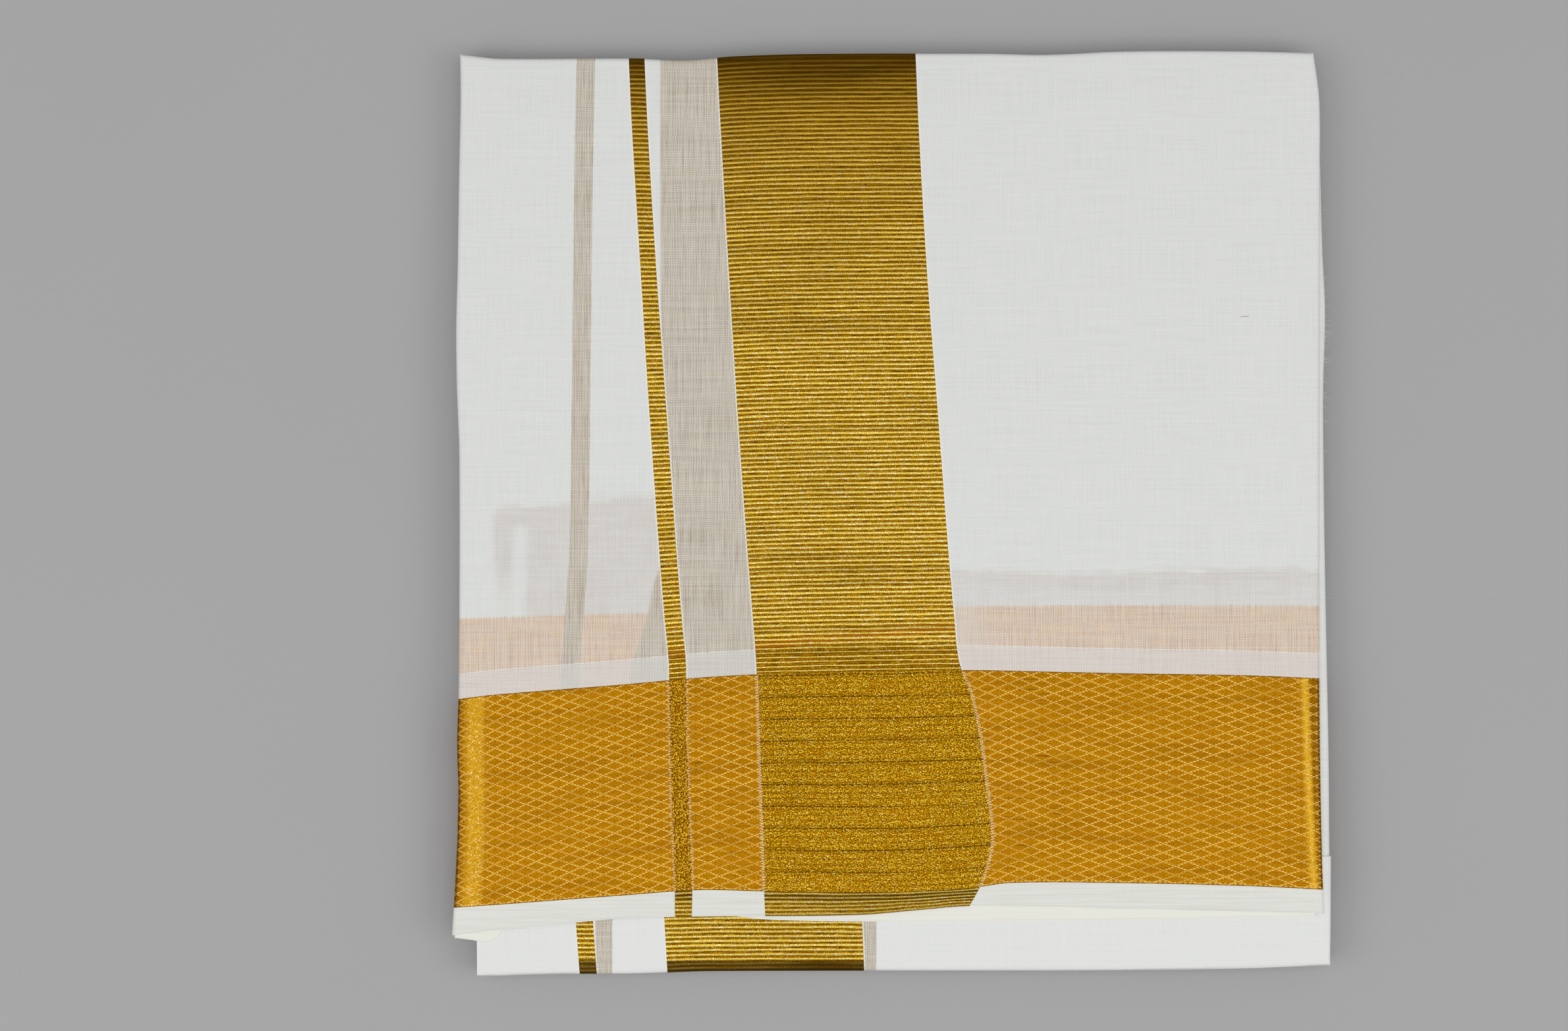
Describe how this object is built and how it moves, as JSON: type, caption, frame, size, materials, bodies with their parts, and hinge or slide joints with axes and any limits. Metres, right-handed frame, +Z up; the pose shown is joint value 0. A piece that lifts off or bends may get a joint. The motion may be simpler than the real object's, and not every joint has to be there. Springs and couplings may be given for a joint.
{
  "type": "dhoti cloth",
  "caption": "Folded dhoti cloth: white open-weave cotton packet with a gold zari border, a ribbed gold end band and a narrow stripe.",
  "frame": {"origin": "middle of the folded packet's box, on the surface it lies on", "axes": "+Z up out of the surface, +X along the border to the right as folded, +Y from the selvedge at the front to the fold at the back"},
  "size_m": [0.3134, 0.3304, 0.0168],
  "materials": {
    "cotton": "fine open-weave cotton, matte",
    "selvedge": "denser cream-white cotton selvedge, matte",
    "band_zari": "ribbed metallic gold weft band",
    "border_zari": "metallic orange-gold border with a fine lattice",
    "crossing_zari": "metallic gold, granular where band and border cross"
  },
  "bodies": {
    "root": {"hidden_layers": "cotton", "under_ground": "cotton", "under_border": "border_zari", "under_hem": "selvedge", "tier_left": "cotton", "tier_stripe": "band_zari", "tier_middle": "cotton", "tier_right": "cotton", "tier_zari_band": "band_zari", "next_panel_edge": "cotton", "second_selvedge": "selvedge", "folded_corner": "selvedge", "top_ground_left": "cotton", "top_zari_stripe": "band_zari", "top_ground_middle": "cotton", "top_ground_right": "cotton", "top_zari_band": "band_zari", "border_left": "border_zari", "border_crossing": "crossing_zari", "border_right": "border_zari", "hem_left": "selvedge", "hem_right": "selvedge", "hem_band": "band_zari"}
  },
  "joints": []
}
